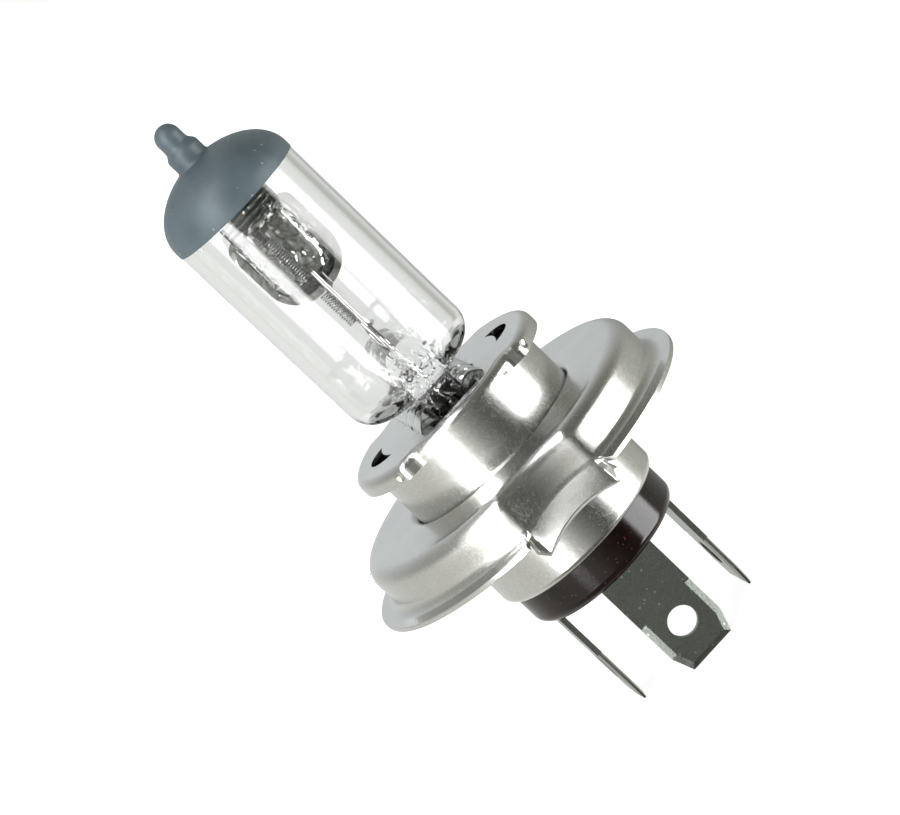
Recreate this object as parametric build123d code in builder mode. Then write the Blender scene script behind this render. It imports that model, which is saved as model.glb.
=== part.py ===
"""Twin-filament headlight bulb with a 43 mm pre-focus cap and three flat terminals.

Frame: +Z runs along the bulb's axis towards the glass tip. The origin is on the axis, in the plane of the
glass-side face of the flange's lip. -Y is the side of the middle terminal and of the flange's notch.
All sizes are in millimetres.
"""

from build123d import *
import math
import os

os.makedirs("parts", exist_ok=True)

# ---------------------------------------------------------------- sizes
# clearances
slip_gap = 0.05  # between metal parts that slide or press together
seal_gap = 0.01  # between the quartz and the metal sealed in it
seat_gap = 0.04  # between parts that rest on each other

# quartz envelope
glass_d = 16.1
glass_wall = 1.1
shoulder_z = 15.0  # underside of the tube's lower end
shoulder_radius = 3.0  # round lower end of the tube
press_neck = 1.4  # from the press seal's root up to the tube's underside
dome_clearance = 1.5  # from the shield's apron up to where the tube starts to close
dome_height = 5.3
neck_d = 3.8  # root of the exhaust tip
neck_fillet = 0.5
neck_rise = 1.3  # straight neck, above the dome
neck_taper = 1.2
tip_d = 2.75
tip_length = 2.3
pinch_thickness = 4.2  # press seal, across X
pinch_width = 13.8  # press seal, along Y
pinch_bottom_z = 2.6
pinch_crest = 6.0  # height of the solid quartz above the tube's underside
pinch_edge_radius = 1.2
crest_radius = 1.5
pinch_panel_depth = 0.4
pinch_panel_width = 9.6
pinch_panel_height = 6.0
pinch_panel_bottom_z = 3.8

# opaque coating over the tip
coat_thickness = 0.08
coat_overlap = 0.7  # how far it runs down from the dome over the tube

# low-beam shield
shield_gap = 0.52  # above the high-beam coil
shield_width = 8.2
shield_height = 9.6
shield_front_y = -0.6
shield_depth = 4.0
shield_sheet = 0.3
shield_bottom_radius = 3.4
shield_back_radius = 1.9
shield_top_radius = 0.8
shield_rim = 0.45
apron_width = 6.9
apron_rise = 2.1
apron_ridges = 3
apron_ridge_depth = 0.25

# filaments: axial coils of tungsten wire
filament_wire_d = 0.24
filament_bead_d = 0.28  # where a tail leaves a coil or bends
low_coil_radius = 0.46
low_coil_turns = 10
low_coil_pitch = 0.56
low_coil_rise = 1.7  # above the shield's lower end
low_coil_x = -0.6
low_coil_y = 0.9
high_coil_radius = 0.42
high_coil_turns = 8
high_coil_pitch = 0.56
high_coil_rise = 3.6  # above the press seal's crest
high_coil_x = -0.65
high_coil_y = -0.5
tail_grip = 0.4  # how far a lead overlaps the filament's tail that is welded to it
tail_step = 0.2  # how far a tail falls away from the coil's end

# leads, foils and outer pins
lead_d = 0.5
lead_bend_radius = 0.7
tie_wire_d = 0.3
tie_rise = 0.4  # of the tie wire above the low-beam coil
tie_reach = 1.66
lead_spacing = 4.0  # along Y in the press seal
foil_width = 2.4
foil_thickness = 0.1
foil_bottom_z = 6.0
foil_top_z = 12.4
pin_d = 0.7
post_x = 0.1  # upright end of the low-beam lead, in front of the shield
post_y = -1.6
post_rise = 2.1  # above the shield's lower end
post_bend = 2.6  # lower end of the upright, above the press seal's crest
common_y = 0.6  # upright end of the common lead, behind the high-beam filament
common_drop = 0.5  # below the shield's lower end
high_end_x = 0.35  # end of the high-beam lead
high_end_y = -0.6
high_pass_x = 0.85  # where the high-beam lead passes beside the common lead
high_pass_y = 1.2
# bends of the leads, above the press seal's crest
lead_rise = 1.0
common_rise = 0.6
common_bend = 1.6
high_lead_rise = 1.4
high_pass_rise = 2.1
high_end_bend = 2.3
tab_width = 0.5
tab_sheet = 0.3
tab_bend_radius = 0.1

# burner holder: wide wings at the sides, close to the sleeve at the front and back
holder_drop = 0.9  # its top below the press seal's root
holder_wing = 1.8  # overhang of the wings past the sleeve
holder_wing_span = 18.6  # along Y
holder_skirt = 1.85
holder_front_skirt = 1.2
holder_front_span = 12.0
holder_sheet = 0.5
holder_edge_radius = 1.0
holder_corner_radius = 1.5
port_d = 5.8
port_inset = 3.55  # of the port circles from the sleeve
port_rim = 2.45  # the ports start this far inside the sleeve
slot_side_gap = 1.2  # beside the press seal
slot_end_gap = 2.4
slit_roots = (-6.7, -3.45, 0.5, 4.2)  # along Y, on the edge of the slot
slit_width = 0.5
slit_runs = ((1.9, 1.9), (0.75, 0.1), (1.9, 1.9), (1.9, 1.9))  # from root to tip
finger_sheet = 0.4
finger_drop = 2.4
finger_inset = 0.1  # between a finger and its slits
finger_radius = 1.0
dimple_angle = 47.0  # weld dimples on the skirt, from the front
dimple_r = 0.9
dimple_depth = 0.22
dimple_rise = 0.85

# focusing sleeve
sleeve_d = 21.9
sleeve_wall = 0.45
sleeve_edge_radius = 0.42

# reference flange
ring_d = 38.0
lip_width = 2.5
ring_height = 5.2
flange_sheet = 0.6
ring_shoulder_radius = 1.5
lip_fold_radius = 1.1
hub_bottom_z = 0.4
hub_edge_radius = 0.9
notch_width = 9.9
notch_relief = 0.8
facet_ease = 0.2  # the notch's flat has a tighter shoulder than the ring by this much
tongue_overhang = 2.45  # past the flat of the ring
tongue_fold_z = 1.05
tongue_drop = 1.4  # how far the middle of its edge lies below the lip
tongue_arch = 0.9  # how much lower the ends of its edge lie
tongue_lap = 0.5  # length of the tongue's upright root
lug_angle = 120.0
lug_width = 6.0
lug_overhang = 2.35  # past the ring wall
lug_root_drop = 0.3  # below the ring's top, where a lug leaves the shoulder
lug_root_depth = 0.2  # below the face of the sheet
lug_root_slope = 15.0  # below the horizontal
lug_edge_z = 2.5
lug_window_low_z = 1.2
lug_window_drop = 0.8  # top of the window below the ring's top
lug_side_gap = 0.25

# base shell and insulator
shell_d = 21.8
shell_wall = 0.45
shell_top_z = -0.6
shell_bottom_z = -8.4
shell_edge_radius = 0.7
shell_curl = 0.85  # width of the rim curled in over the insulator
neck_length = 6.0
insulator_top_z = -6.0
insulator_bottom_z = -12.7
insulator_edge_radius = 1.1
insulator_collar_radius = 0.45
insulator_recess_d = 9.0
insulator_recess_depth = 1.0

# terminals
blade_width = 7.45
blade_thickness = 0.65
blade_inset = 1.7  # middle of the blade inside the insulator's edge
blade_end_z = -25.9
blade_tip_width = 5.7
blade_tip_length = 2.6
blade_hole_d = 3.4
blade_hole_rise = 4.7  # above the blade's end
blade_bevel = 0.2
blade_bevel_length = 7.4
blade_bevel_width = 0.7
blade_bend_radius = 0.6
foot_width = 2.6
foot_overhang = 0.75  # past the pin's axis
foot_arm_x = 3.2  # inner edge of the high-beam foot's radial arm
foot_arm_y = 0.8

# ---------------------------------------------------------------- derived sizes
# heights: the burner stands on the press seal's root, piece on piece
press_neck_z = shoulder_z - press_neck
holder_top_z = press_neck_z - holder_drop
holder_low_z = holder_top_z - holder_skirt
holder_under_z = holder_top_z - holder_sheet
crest_z = shoulder_z + pinch_crest
high_coil_base_z = crest_z + high_coil_rise
high_coil_top_z = high_coil_base_z + high_coil_turns * high_coil_pitch
shield_bottom_z = high_coil_top_z + shield_gap
shield_top_z = shield_bottom_z + shield_height
low_coil_base_z = shield_bottom_z + low_coil_rise
low_coil_top_z = low_coil_base_z + low_coil_turns * low_coil_pitch
dome_z = shield_top_z + apron_rise + dome_clearance
neck_top_z = dome_z + dome_height + neck_rise
tip_root_z = neck_top_z + neck_taper
tip_end_z = tip_root_z + tip_length
coat_edge_z = dome_z - coat_overlap
sleeve_bottom_z = hub_bottom_z
# radii
glass_r = glass_d / 2
bore_r = glass_r - glass_wall
neck_r = neck_d / 2
tip_r = tip_d / 2
sleeve_r = sleeve_d / 2
holder_r = sleeve_r + holder_wing
holder_front_r = sleeve_r + slip_gap + holder_sheet
hub_r = sleeve_r + slip_gap
ring_r = ring_d / 2
lip_r = ring_r + lip_width
shell_r = shell_d / 2
shell_inner_r = shell_r - shell_wall
shell_neck_r = sleeve_r - sleeve_wall - slip_gap
insulator_r = shell_r - shell_curl
# other places
lead_ys = (-lead_spacing, 0, lead_spacing)
slot_x = pinch_thickness / 2 + slot_side_gap
facet_y = math.sqrt(ring_r**2 - (notch_width / 2) ** 2)  # flat of the ring wall at the notch
lug_reach = ring_r + lug_overhang
blade_offset = insulator_r - blade_inset
foot_low_z = insulator_top_z + seat_gap
foot_top_z = foot_low_z + blade_thickness


# ---------------------------------------------------------------- helpers
def wire_part(points, radius, diameter, name):
    """A round wire that runs straight between points and turns with the given bend radius."""
    with BuildPart() as wire:
        with BuildLine() as route:
            FilletPolyline(*points, radius=radius)
        with BuildSketch(Plane(origin=route.line @ 0, z_dir=route.line % 0)):
            Circle(diameter / 2)
        sweep()
    wire.part.label = name
    return wire.part


def rod_part(x, y, low_z, high_z, diameter, name):
    """A straight round pin parallel to the axis."""
    with BuildPart() as rod:
        with BuildSketch(Plane.XY.offset(low_z)):
            with Locations((x, y)):
                Circle(diameter / 2)
        extrude(amount=high_z - low_z)
    rod.part.label = name
    return rod.part


def write(part, name):
    """Write one finished piece."""
    export_step(part, f"parts/{name}.step")


# ---------------------------------------------------------------- quartz envelope
floor_z = shoulder_z + glass_wall
floor_radius = shoulder_radius - glass_wall
bore_top_z = dome_z + dome_height - glass_wall
root_angle = math.degrees(math.acos((neck_r + neck_fillet) / glass_r))
neck_root_z = dome_z + dome_height * math.sin(math.radians(root_angle)) + neck_fillet


def tip_outline(low_z, skin=0):
    """Outline from low_z over the dome and the exhaust tip to the axis, a skin outside the quartz."""
    dome = EllipticalCenterArc((0, dome_z), glass_r + skin, dome_height + skin, 0, arc_size=root_angle)
    Line((glass_r + skin, low_z), dome @ 0)
    root = Spline(dome @ 1, (neck_r + skin, neck_root_z), tangents=[dome % 1, (0, 1)])
    Line(root @ 1, (neck_r + skin, neck_top_z))
    Spline((neck_r + skin, neck_top_z), (tip_r + skin, tip_root_z), tangents=[(0, 1), (0, 1)])
    Line((tip_r + skin, tip_root_z), (tip_r + skin, tip_end_z - tip_r))
    CenterArc((0, tip_end_z - tip_r), tip_r + skin, 0, 90)


with BuildPart() as glass_envelope:
    # outside: neck of the press seal, rounded lower end, tube, dome and exhaust tip
    with BuildSketch(Plane.XZ):
        with BuildLine():
            Polyline(
                (0, tip_end_z),
                (0, press_neck_z),
                (pinch_thickness / 2, press_neck_z),
                (glass_r - shoulder_radius, shoulder_z),
            )
            CenterArc((glass_r - shoulder_radius, shoulder_z + shoulder_radius), shoulder_radius, -90, 90)
            tip_outline(shoulder_z + shoulder_radius)
        make_face()
    revolve(axis=Axis.Z)
    # inside: the bore, rounded at its lower end and domed at its upper end
    with BuildSketch(Plane.XZ):
        with BuildLine():
            Polyline((0, bore_top_z), (0, floor_z), (bore_r - floor_radius, floor_z))
            CenterArc((bore_r - floor_radius, floor_z + floor_radius), floor_radius, -90, 90)
            Line((bore_r, floor_z + floor_radius), (bore_r, dome_z))
            Spline((bore_r, dome_z), (0, bore_top_z), tangents=[(0, 1), (-1, 0)])
        make_face()
    revolve(axis=Axis.Z, mode=Mode.SUBTRACT)
    # crest of the press seal inside the tube
    with BuildSketch(Plane.XZ):
        with Locations((0, (floor_z + crest_z) / 2)):
            Rectangle(pinch_thickness, crest_z - floor_z)
        fillet(vertices().group_by(Axis.Y)[-1], crest_radius)
    extrude(amount=pinch_width / 2, both=True)
    # press seal below the tube, with a pressed panel on each broad face
    with BuildSketch(Plane.XY.offset(pinch_bottom_z)):
        RectangleRounded(pinch_thickness, pinch_width, pinch_edge_radius)
    extrude(amount=shoulder_z - pinch_bottom_z)
    with BuildSketch(Plane.XY.offset(pinch_panel_bottom_z)):
        with Locations((-pinch_thickness / 2, 0), (pinch_thickness / 2, 0)):
            Rectangle(2 * pinch_panel_depth, pinch_panel_width)
    extrude(amount=pinch_panel_height, mode=Mode.SUBTRACT)
    # channels that the foils, leads and pins are sealed in
    with BuildSketch(Plane.XY.offset(foil_bottom_z - seal_gap)):
        with Locations(*[(0, y) for y in lead_ys]):
            Rectangle(foil_thickness + 2 * seal_gap, foil_width + 2 * seal_gap)
    extrude(amount=foil_top_z - foil_bottom_z + 2 * seal_gap, mode=Mode.SUBTRACT)
    with BuildSketch(Plane.XY.offset(foil_top_z)):
        with Locations(*[(0, y) for y in lead_ys]):
            Circle(lead_d / 2 + seal_gap)
    extrude(amount=crest_z - foil_top_z, mode=Mode.SUBTRACT)
    with BuildSketch(Plane.XY.offset(pinch_bottom_z)):
        with Locations(*[(0, y) for y in lead_ys]):
            Circle(pin_d / 2 + seal_gap)
    extrude(amount=foil_bottom_z - pinch_bottom_z, mode=Mode.SUBTRACT)
glass_envelope.part.label = "glass_envelope"
write(glass_envelope.part, "glass_envelope")

with BuildPart() as opaque_tip_coating:
    for skin, mode in ((coat_thickness, Mode.ADD), (seal_gap, Mode.SUBTRACT)):
        with BuildSketch(Plane.XZ):
            with BuildLine():
                tip_outline(coat_edge_z, skin)
                Polyline((0, tip_end_z + skin), (0, coat_edge_z), (glass_r + skin, coat_edge_z))
            make_face()
        revolve(axis=Axis.Z, mode=mode)
opaque_tip_coating.part.label = "opaque_tip_coating"
write(opaque_tip_coating.part, "opaque_tip_coating")

# ---------------------------------------------------------------- low-beam shield
shield_plane = Plane.XZ.offset(-shield_front_y)


def shield_outline(grow):
    """Front outline of the shield: square upper corners and a rounded lower end."""
    with BuildSketch() as outline:
        with Locations((0, (shield_bottom_z + shield_top_z) / 2)):
            Rectangle(shield_width + 2 * grow, shield_height + 2 * grow)
        fillet(vertices().group_by(Axis.Y)[0], shield_bottom_radius + grow)
        fillet(vertices().group_by(Axis.Y)[-1], shield_top_radius + grow)
    return outline.sketch


cup_outline = shield_outline(0)
rim_outline = shield_outline(shield_rim)
mouth_outline = shield_outline(-shield_sheet)
with BuildPart() as low_beam_shield:
    # drawn cup, open towards the front
    with BuildSketch(shield_plane):
        add(cup_outline)
    extrude(amount=-shield_depth)
    fillet(faces().sort_by(Axis.Y)[-1].edges(), shield_back_radius)
    offset(amount=-shield_sheet, openings=faces().sort_by(Axis.Y)[0])
    # flat rim around the mouth
    with BuildSketch(shield_plane):
        add(rim_outline)
        add(mouth_outline, mode=Mode.SUBTRACT)
    extrude(amount=-shield_sheet)
    # ribbed apron above the cup
    with BuildSketch(Plane.YZ):
        with BuildLine():
            ridge = apron_rise / apron_ridges
            path = [(shield_front_y, shield_top_z)]
            for count in range(apron_ridges):
                path.append((shield_front_y - apron_ridge_depth, shield_top_z + (count + 0.5) * ridge))
                path.append((shield_front_y, shield_top_z + (count + 1) * ridge))
            Polyline(*path)
            offset(amount=shield_sheet, side=Side.RIGHT, closed=True)
        make_face()
    extrude(amount=apron_width / 2, both=True)
low_beam_shield.part.label = "low_beam_shield"
write(low_beam_shield.part, "low_beam_shield")

# tie from the cup's upper wall to the upper end of the low-beam filament
low_tail_x = low_coil_x + low_coil_radius
tie_z = low_coil_top_z + tie_rise
tie_x = low_tail_x - tie_reach
shield_post = wire_part(
    [
        (tie_x, low_coil_y, shield_top_z - shield_sheet - seat_gap),
        (tie_x, low_coil_y, tie_z),
        (low_tail_x - filament_wire_d / 2 - seal_gap, low_coil_y, tie_z),
    ],
    lead_bend_radius,
    tie_wire_d,
    "shield_post",
)
write(shield_post, "shield_post")

post_top_z = shield_bottom_z + post_rise
tab_front_y = post_y + lead_d / 2 + seal_gap
with BuildPart() as shield_weld_tab:
    with BuildSketch(Plane.YZ.offset(post_x)):
        with BuildLine():
            FilletPolyline(
                (tab_front_y, post_top_z),
                (tab_front_y, shield_bottom_z - shield_rim),
                (shield_front_y - seal_gap, shield_bottom_z - shield_rim),
                radius=tab_bend_radius,
            )
            offset(amount=tab_sheet, side=Side.LEFT, closed=True)
        make_face()
    extrude(amount=tab_width / 2, both=True)
shield_weld_tab.part.label = "shield_weld_tab"
write(shield_weld_tab.part, "shield_weld_tab")


# ---------------------------------------------------------------- filaments
def filament_part(centre, base_z, radius, turns, pitch, low_tail, high_tail, name):
    """A coil round the line through centre, with a straight tail from each end of the coil."""
    low_end = Vector(centre[0] + radius, centre[1], base_z)
    high_end = Vector(centre[0] + radius, centre[1], base_z + turns * pitch)
    with BuildPart() as filament:
        with BuildLine() as route:
            Helix(pitch, turns * pitch, radius, center=(centre[0], centre[1], base_z))
        with BuildSketch(Plane(origin=route.line @ 0, z_dir=route.line % 0)):
            Circle(filament_wire_d / 2)
        sweep(is_frenet=True)
        for end, points in ((low_end, low_tail), (high_end, high_tail)):
            start = end
            for point in points:
                step = Vector(*point) - start
                with BuildSketch(Plane(origin=start, z_dir=step)):
                    Circle(filament_wire_d / 2)
                extrude(amount=step.length)
                with Locations(start):
                    Sphere(filament_bead_d / 2)
                start = Vector(*point)
    filament.part.label = name
    return filament.part


common_top_z = shield_bottom_z - common_drop
high_end_z = high_coil_base_z - tail_step
tail_x = post_x + tab_width / 2 + filament_wire_d + tail_step
low_beam_filament = filament_part(
    (low_coil_x, low_coil_y),
    low_coil_base_z,
    low_coil_radius,
    low_coil_turns,
    low_coil_pitch,
    [
        (tail_x, shield_front_y - tail_grip, low_coil_base_z - tail_step),
        (tail_x, shield_front_y - tail_grip, common_top_z),
        (lead_d / 2 + filament_wire_d / 2 + seal_gap, common_y, common_top_z - tail_grip),
    ],
    [(low_tail_x, low_coil_y, tie_z + tie_wire_d)],
    "low_beam_filament",
)
write(low_beam_filament, "low_beam_filament")
high_beam_filament = filament_part(
    (high_coil_x, high_coil_y),
    high_coil_base_z,
    high_coil_radius,
    high_coil_turns,
    high_coil_pitch,
    [(high_end_x - lead_d / 2 - filament_wire_d / 2 - seal_gap, high_end_y, high_end_z - tail_grip)],
    [(0, common_y - lead_d / 2 - filament_wire_d / 2 - seal_gap, high_coil_top_z - tail_grip)],
    "high_beam_filament",
)
write(high_beam_filament, "high_beam_filament")

# ---------------------------------------------------------------- leads, foils and pins
lead_low_z = foil_top_z + 2 * seal_gap
low_beam_lead = wire_part(
    [
        (0, -lead_spacing, lead_low_z),
        (0, -lead_spacing, crest_z + lead_rise),
        (post_x, post_y, crest_z + post_bend),
        (post_x, post_y, post_top_z),
    ],
    lead_bend_radius,
    lead_d,
    "low_beam_lead",
)
write(low_beam_lead, "low_beam_lead")
common_lead = wire_part(
    [
        (0, 0, lead_low_z),
        (0, 0, crest_z + common_rise),
        (0, common_y, crest_z + common_bend),
        (0, common_y, common_top_z),
    ],
    lead_bend_radius,
    lead_d,
    "common_lead",
)
write(common_lead, "common_lead")
high_beam_lead = wire_part(
    [
        (0, lead_spacing, lead_low_z),
        (0, lead_spacing, crest_z + high_lead_rise),
        (high_pass_x, high_pass_y, crest_z + high_pass_rise),
        (high_end_x, high_end_y, crest_z + high_end_bend),
        (high_end_x, high_end_y, high_end_z),
    ],
    lead_bend_radius,
    lead_d,
    "high_beam_lead",
)
write(high_beam_lead, "high_beam_lead")

circuits = (("low_beam", -lead_spacing), ("common", 0), ("high_beam", lead_spacing))
for circuit, lead_y in circuits:
    with BuildPart() as foil:
        with BuildSketch(Plane.XY.offset(foil_bottom_z)):
            with Locations((0, lead_y)):
                Rectangle(foil_thickness, foil_width)
        extrude(amount=foil_top_z - foil_bottom_z)
    foil.part.label = f"{circuit}_foil"
    write(foil.part, f"{circuit}_foil")
    pin_top_z = foil_bottom_z - 2 * seal_gap
    pin = rod_part(0, lead_y, foot_low_z, pin_top_z, pin_d, f"{circuit}_pin")
    write(pin, f"{circuit}_pin")

# ---------------------------------------------------------------- burner holder
finger_x = pinch_thickness / 2 + slip_gap
finger_edge = slit_width / 2 + finger_inset
dimple_reach = holder_r + dimple_r - dimple_depth
dimple_x = dimple_reach * math.sin(math.radians(dimple_angle))
dimple_y = -dimple_reach * math.cos(math.radians(dimple_angle))
with BuildPart() as burner_holder:
    # drawn plate with a skirt
    with BuildSketch(Plane.XY.offset(holder_low_z)):
        Circle(holder_r)
        Rectangle(2 * holder_r, holder_wing_span, mode=Mode.INTERSECT)
        Circle(holder_front_r)
        fillet(vertices().group_by(SortBy.DISTANCE)[-1], holder_corner_radius)
        steps = vertices().filter_by(lambda spot: abs(Vector(spot).length - holder_front_r) < seal_gap)
        fillet(steps, holder_corner_radius)
    extrude(amount=holder_skirt)
    fillet(faces().sort_by(Axis.Z)[-1].edges(), holder_edge_radius)
    offset(amount=-holder_sheet, openings=faces().sort_by(Axis.Z)[0])
    # short skirt at the front and at the back
    with BuildSketch(Plane.XY.offset(holder_low_z)):
        Rectangle(holder_front_span, 3 * holder_r)
        Rectangle(holder_front_span, holder_front_r, mode=Mode.SUBTRACT)
    extrude(amount=holder_skirt - holder_front_skirt, mode=Mode.SUBTRACT)
    # opening for the press seal and the two crescent ports
    with BuildSketch(Plane.XY.offset(holder_top_z)):
        Rectangle(2 * slot_x, pinch_width + 2 * slot_end_gap)
    extrude(amount=-2 * holder_sheet, mode=Mode.SUBTRACT)
    with BuildSketch(Plane.XY.offset(holder_top_z)):
        with Locations((port_inset - sleeve_r, 0), (sleeve_r - port_inset, 0)):
            Circle(port_d / 2)
        Circle(sleeve_r - port_rim, mode=Mode.SUBTRACT)
    extrude(amount=-2 * holder_sheet, mode=Mode.SUBTRACT)
    # spring fingers bent down against the press seal
    for low_y, high_y in zip(slit_roots, slit_roots[1:]):
        for side in (-1, 1):
            with BuildSketch(Plane.XZ.offset(finger_edge - high_y)):
                with BuildLine():
                    FilletPolyline(
                        (side * finger_x, holder_top_z - finger_drop),
                        (side * finger_x, holder_top_z),
                        (side * (slot_x + finger_sheet), holder_top_z),
                        radius=finger_radius,
                    )
                    offset(amount=finger_sheet, side=Side.RIGHT if side > 0 else Side.LEFT, closed=True)
                make_face()
            extrude(amount=high_y - low_y - 2 * finger_edge)
    # tapered slits that part the fingers
    with BuildSketch(Plane.XY.offset(holder_top_z)):
        for root_y, run in zip(slit_roots, slit_runs):
            for side in (-1, 1):
                with BuildLine():
                    Polyline(
                        (side * slot_x, root_y - slit_width / 2),
                        (side * (slot_x + run[0]), root_y + run[1]),
                        (side * slot_x, root_y + slit_width / 2),
                        close=True,
                    )
                make_face()
    extrude(amount=-2 * holder_sheet, mode=Mode.SUBTRACT)
    # weld dimples on the skirt
    with Locations(*[(side * dimple_x, dimple_y, holder_low_z + dimple_rise) for side in (-1, 1)]):
        Sphere(dimple_r, mode=Mode.SUBTRACT)
burner_holder.part.label = "burner_holder"
write(burner_holder.part, "burner_holder")

# ---------------------------------------------------------------- focusing sleeve
with BuildPart() as focusing_sleeve:
    with BuildSketch(Plane.XY.offset(sleeve_bottom_z)):
        Circle(sleeve_r)
        Circle(sleeve_r - sleeve_wall, mode=Mode.SUBTRACT)
    extrude(amount=holder_under_z - seat_gap - sleeve_bottom_z)
    fillet(edges().group_by(Axis.Z)[-1].sort_by(SortBy.RADIUS)[-1], sleeve_edge_radius)
focusing_sleeve.part.label = "focusing_sleeve"
write(focusing_sleeve.part, "focusing_sleeve")

# ---------------------------------------------------------------- reference flange
facet_low_z = tongue_fold_z + flange_sheet
arch_radius = ((notch_width / 2) ** 2 + tongue_arch**2) / (2 * tongue_arch)
lug_half_angle = math.degrees(math.asin(lug_width / 2 / lug_reach))
lug_gap_angle = math.degrees(lug_side_gap / ring_r)
lug_root_z = ring_height - lug_root_drop
lug_rise = ring_shoulder_radius - lug_root_drop
lug_root_r = ring_r - ring_shoulder_radius + math.sqrt(ring_shoulder_radius**2 - lug_rise**2)
lug_slope = math.radians(lug_root_slope)
lug_starts = [-90 + side * lug_angle - lug_half_angle for side in (-1, 1)]

# tongue of the notch: bent outwards and arched over the notch
with BuildPart() as tongue:
    with BuildSketch(Plane.YZ):
        with BuildLine():
            FilletPolyline(
                (-facet_y, facet_low_z + tongue_arch + tongue_lap),
                (-facet_y, tongue_fold_z),
                (-facet_y - tongue_overhang, -tongue_drop),
                radius=lip_fold_radius,
            )
            offset(amount=flange_sheet, side=Side.LEFT, closed=True)
        make_face()
    revolve(axis=Axis((0, 0, tongue_fold_z - arch_radius), (0, 1, 0)), revolution_arc=45)
    mirror(about=Plane.YZ)
    Box(notch_width, 3 * lip_r, 3 * lip_r, mode=Mode.INTERSECT)

# lug: a strip of the ring wall lanced on three sides and bent outwards
with BuildPart() as lug:
    with BuildSketch(Plane.XZ):
        with BuildLine():
            TangentArc(
                (lug_root_r, lug_root_z - lug_root_depth),
                (lug_reach, lug_edge_z),
                tangent=(math.cos(lug_slope), -math.sin(lug_slope)),
            )
            offset(amount=flange_sheet, side=Side.RIGHT, closed=True)
        make_face()
    revolve(axis=Axis.Z, revolution_arc=2 * lug_half_angle)
with BuildPart() as lug_window:
    with BuildSketch(Plane.XZ):
        with Locations((ring_r - flange_sheet / 2, lug_window_low_z)):
            window_height = ring_height - lug_window_drop - lug_window_low_z
            Rectangle(2 * flange_sheet, window_height, align=(Align.CENTER, Align.MIN))
    revolve(axis=Axis.Z, revolution_arc=2 * (lug_half_angle + lug_gap_angle))

with BuildPart() as reference_flange:
    # rolled hole edge, top, ring wall and lip
    with BuildSketch(Plane.XZ):
        with BuildLine():
            hub = FilletPolyline(
                (hub_r, hub_bottom_z),
                (hub_r, ring_height),
                ((hub_r + ring_r) / 2, ring_height),
                radius=hub_edge_radius,
            )
            top = FilletPolyline(
                hub @ 1,
                (ring_r, ring_height),
                (ring_r, ring_shoulder_radius),
                radius=ring_shoulder_radius,
            )
            FilletPolyline(top @ 1, (ring_r, 0), (lip_r, 0), radius=lip_fold_radius)
            offset(amount=flange_sheet, side=Side.RIGHT, closed=True)
        make_face()
    revolve(axis=Axis.Z)
    # clear the front for the notch, and cut its two relief slots through the lip
    with BuildSketch(Plane.XY.offset(-2 * flange_sheet)):
        with Locations((0, -facet_y + ring_shoulder_radius)):
            Rectangle(notch_width, lip_r, align=(Align.CENTER, Align.MAX))
        with Locations((0, -facet_y - flange_sheet / 2)):
            Rectangle(notch_width + 2 * notch_relief, lip_r, align=(Align.CENTER, Align.MAX))
    extrude(amount=2 * ring_height, mode=Mode.SUBTRACT)
    # flat front of the ring wall, with the tongue below it
    with BuildSketch(Plane.YZ):
        with BuildLine():
            FilletPolyline(
                (-facet_y + ring_shoulder_radius, ring_height),
                (-facet_y, ring_height),
                (-facet_y, facet_low_z),
                radius=ring_shoulder_radius - facet_ease,
            )
            offset(amount=flange_sheet, side=Side.LEFT, closed=True)
        make_face()
    extrude(amount=notch_width / 2, both=True)
    add(tongue.part)
    # two lugs at the back
    for start in lug_starts:
        add(lug_window.part.rotate(Axis.Z, start - lug_gap_angle), mode=Mode.SUBTRACT)
        add(lug.part.rotate(Axis.Z, start))
reference_flange.part.label = "reference_flange"
write(reference_flange.part, "reference_flange")

# ---------------------------------------------------------------- base shell
shell_rim_r = insulator_r + slip_gap
with BuildPart() as base_shell:
    with BuildSketch(Plane.XZ):
        with BuildLine():
            Polyline(
                (shell_rim_r, shell_bottom_z),
                (shell_r, shell_bottom_z),
                (shell_r, shell_top_z),
                (shell_neck_r, shell_top_z),
                (shell_neck_r, shell_top_z + neck_length),
                (shell_neck_r - shell_wall, shell_top_z + neck_length),
                (shell_neck_r - shell_wall, shell_top_z - shell_wall),
                (shell_inner_r, shell_top_z - shell_wall),
                (shell_inner_r, shell_bottom_z + shell_wall),
                (shell_rim_r, shell_bottom_z + shell_wall),
                close=True,
            )
        make_face()
        outer_corner = vertices().sort_by_distance((shell_r, shell_bottom_z))[0]
        inner_corner = vertices().sort_by_distance((shell_inner_r, shell_bottom_z + shell_wall))[0]
        fillet(outer_corner, shell_edge_radius)
        fillet(inner_corner, shell_edge_radius - shell_wall)
    revolve(axis=Axis.Z)
base_shell.part.label = "base_shell"
write(base_shell.part, "base_shell")

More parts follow.
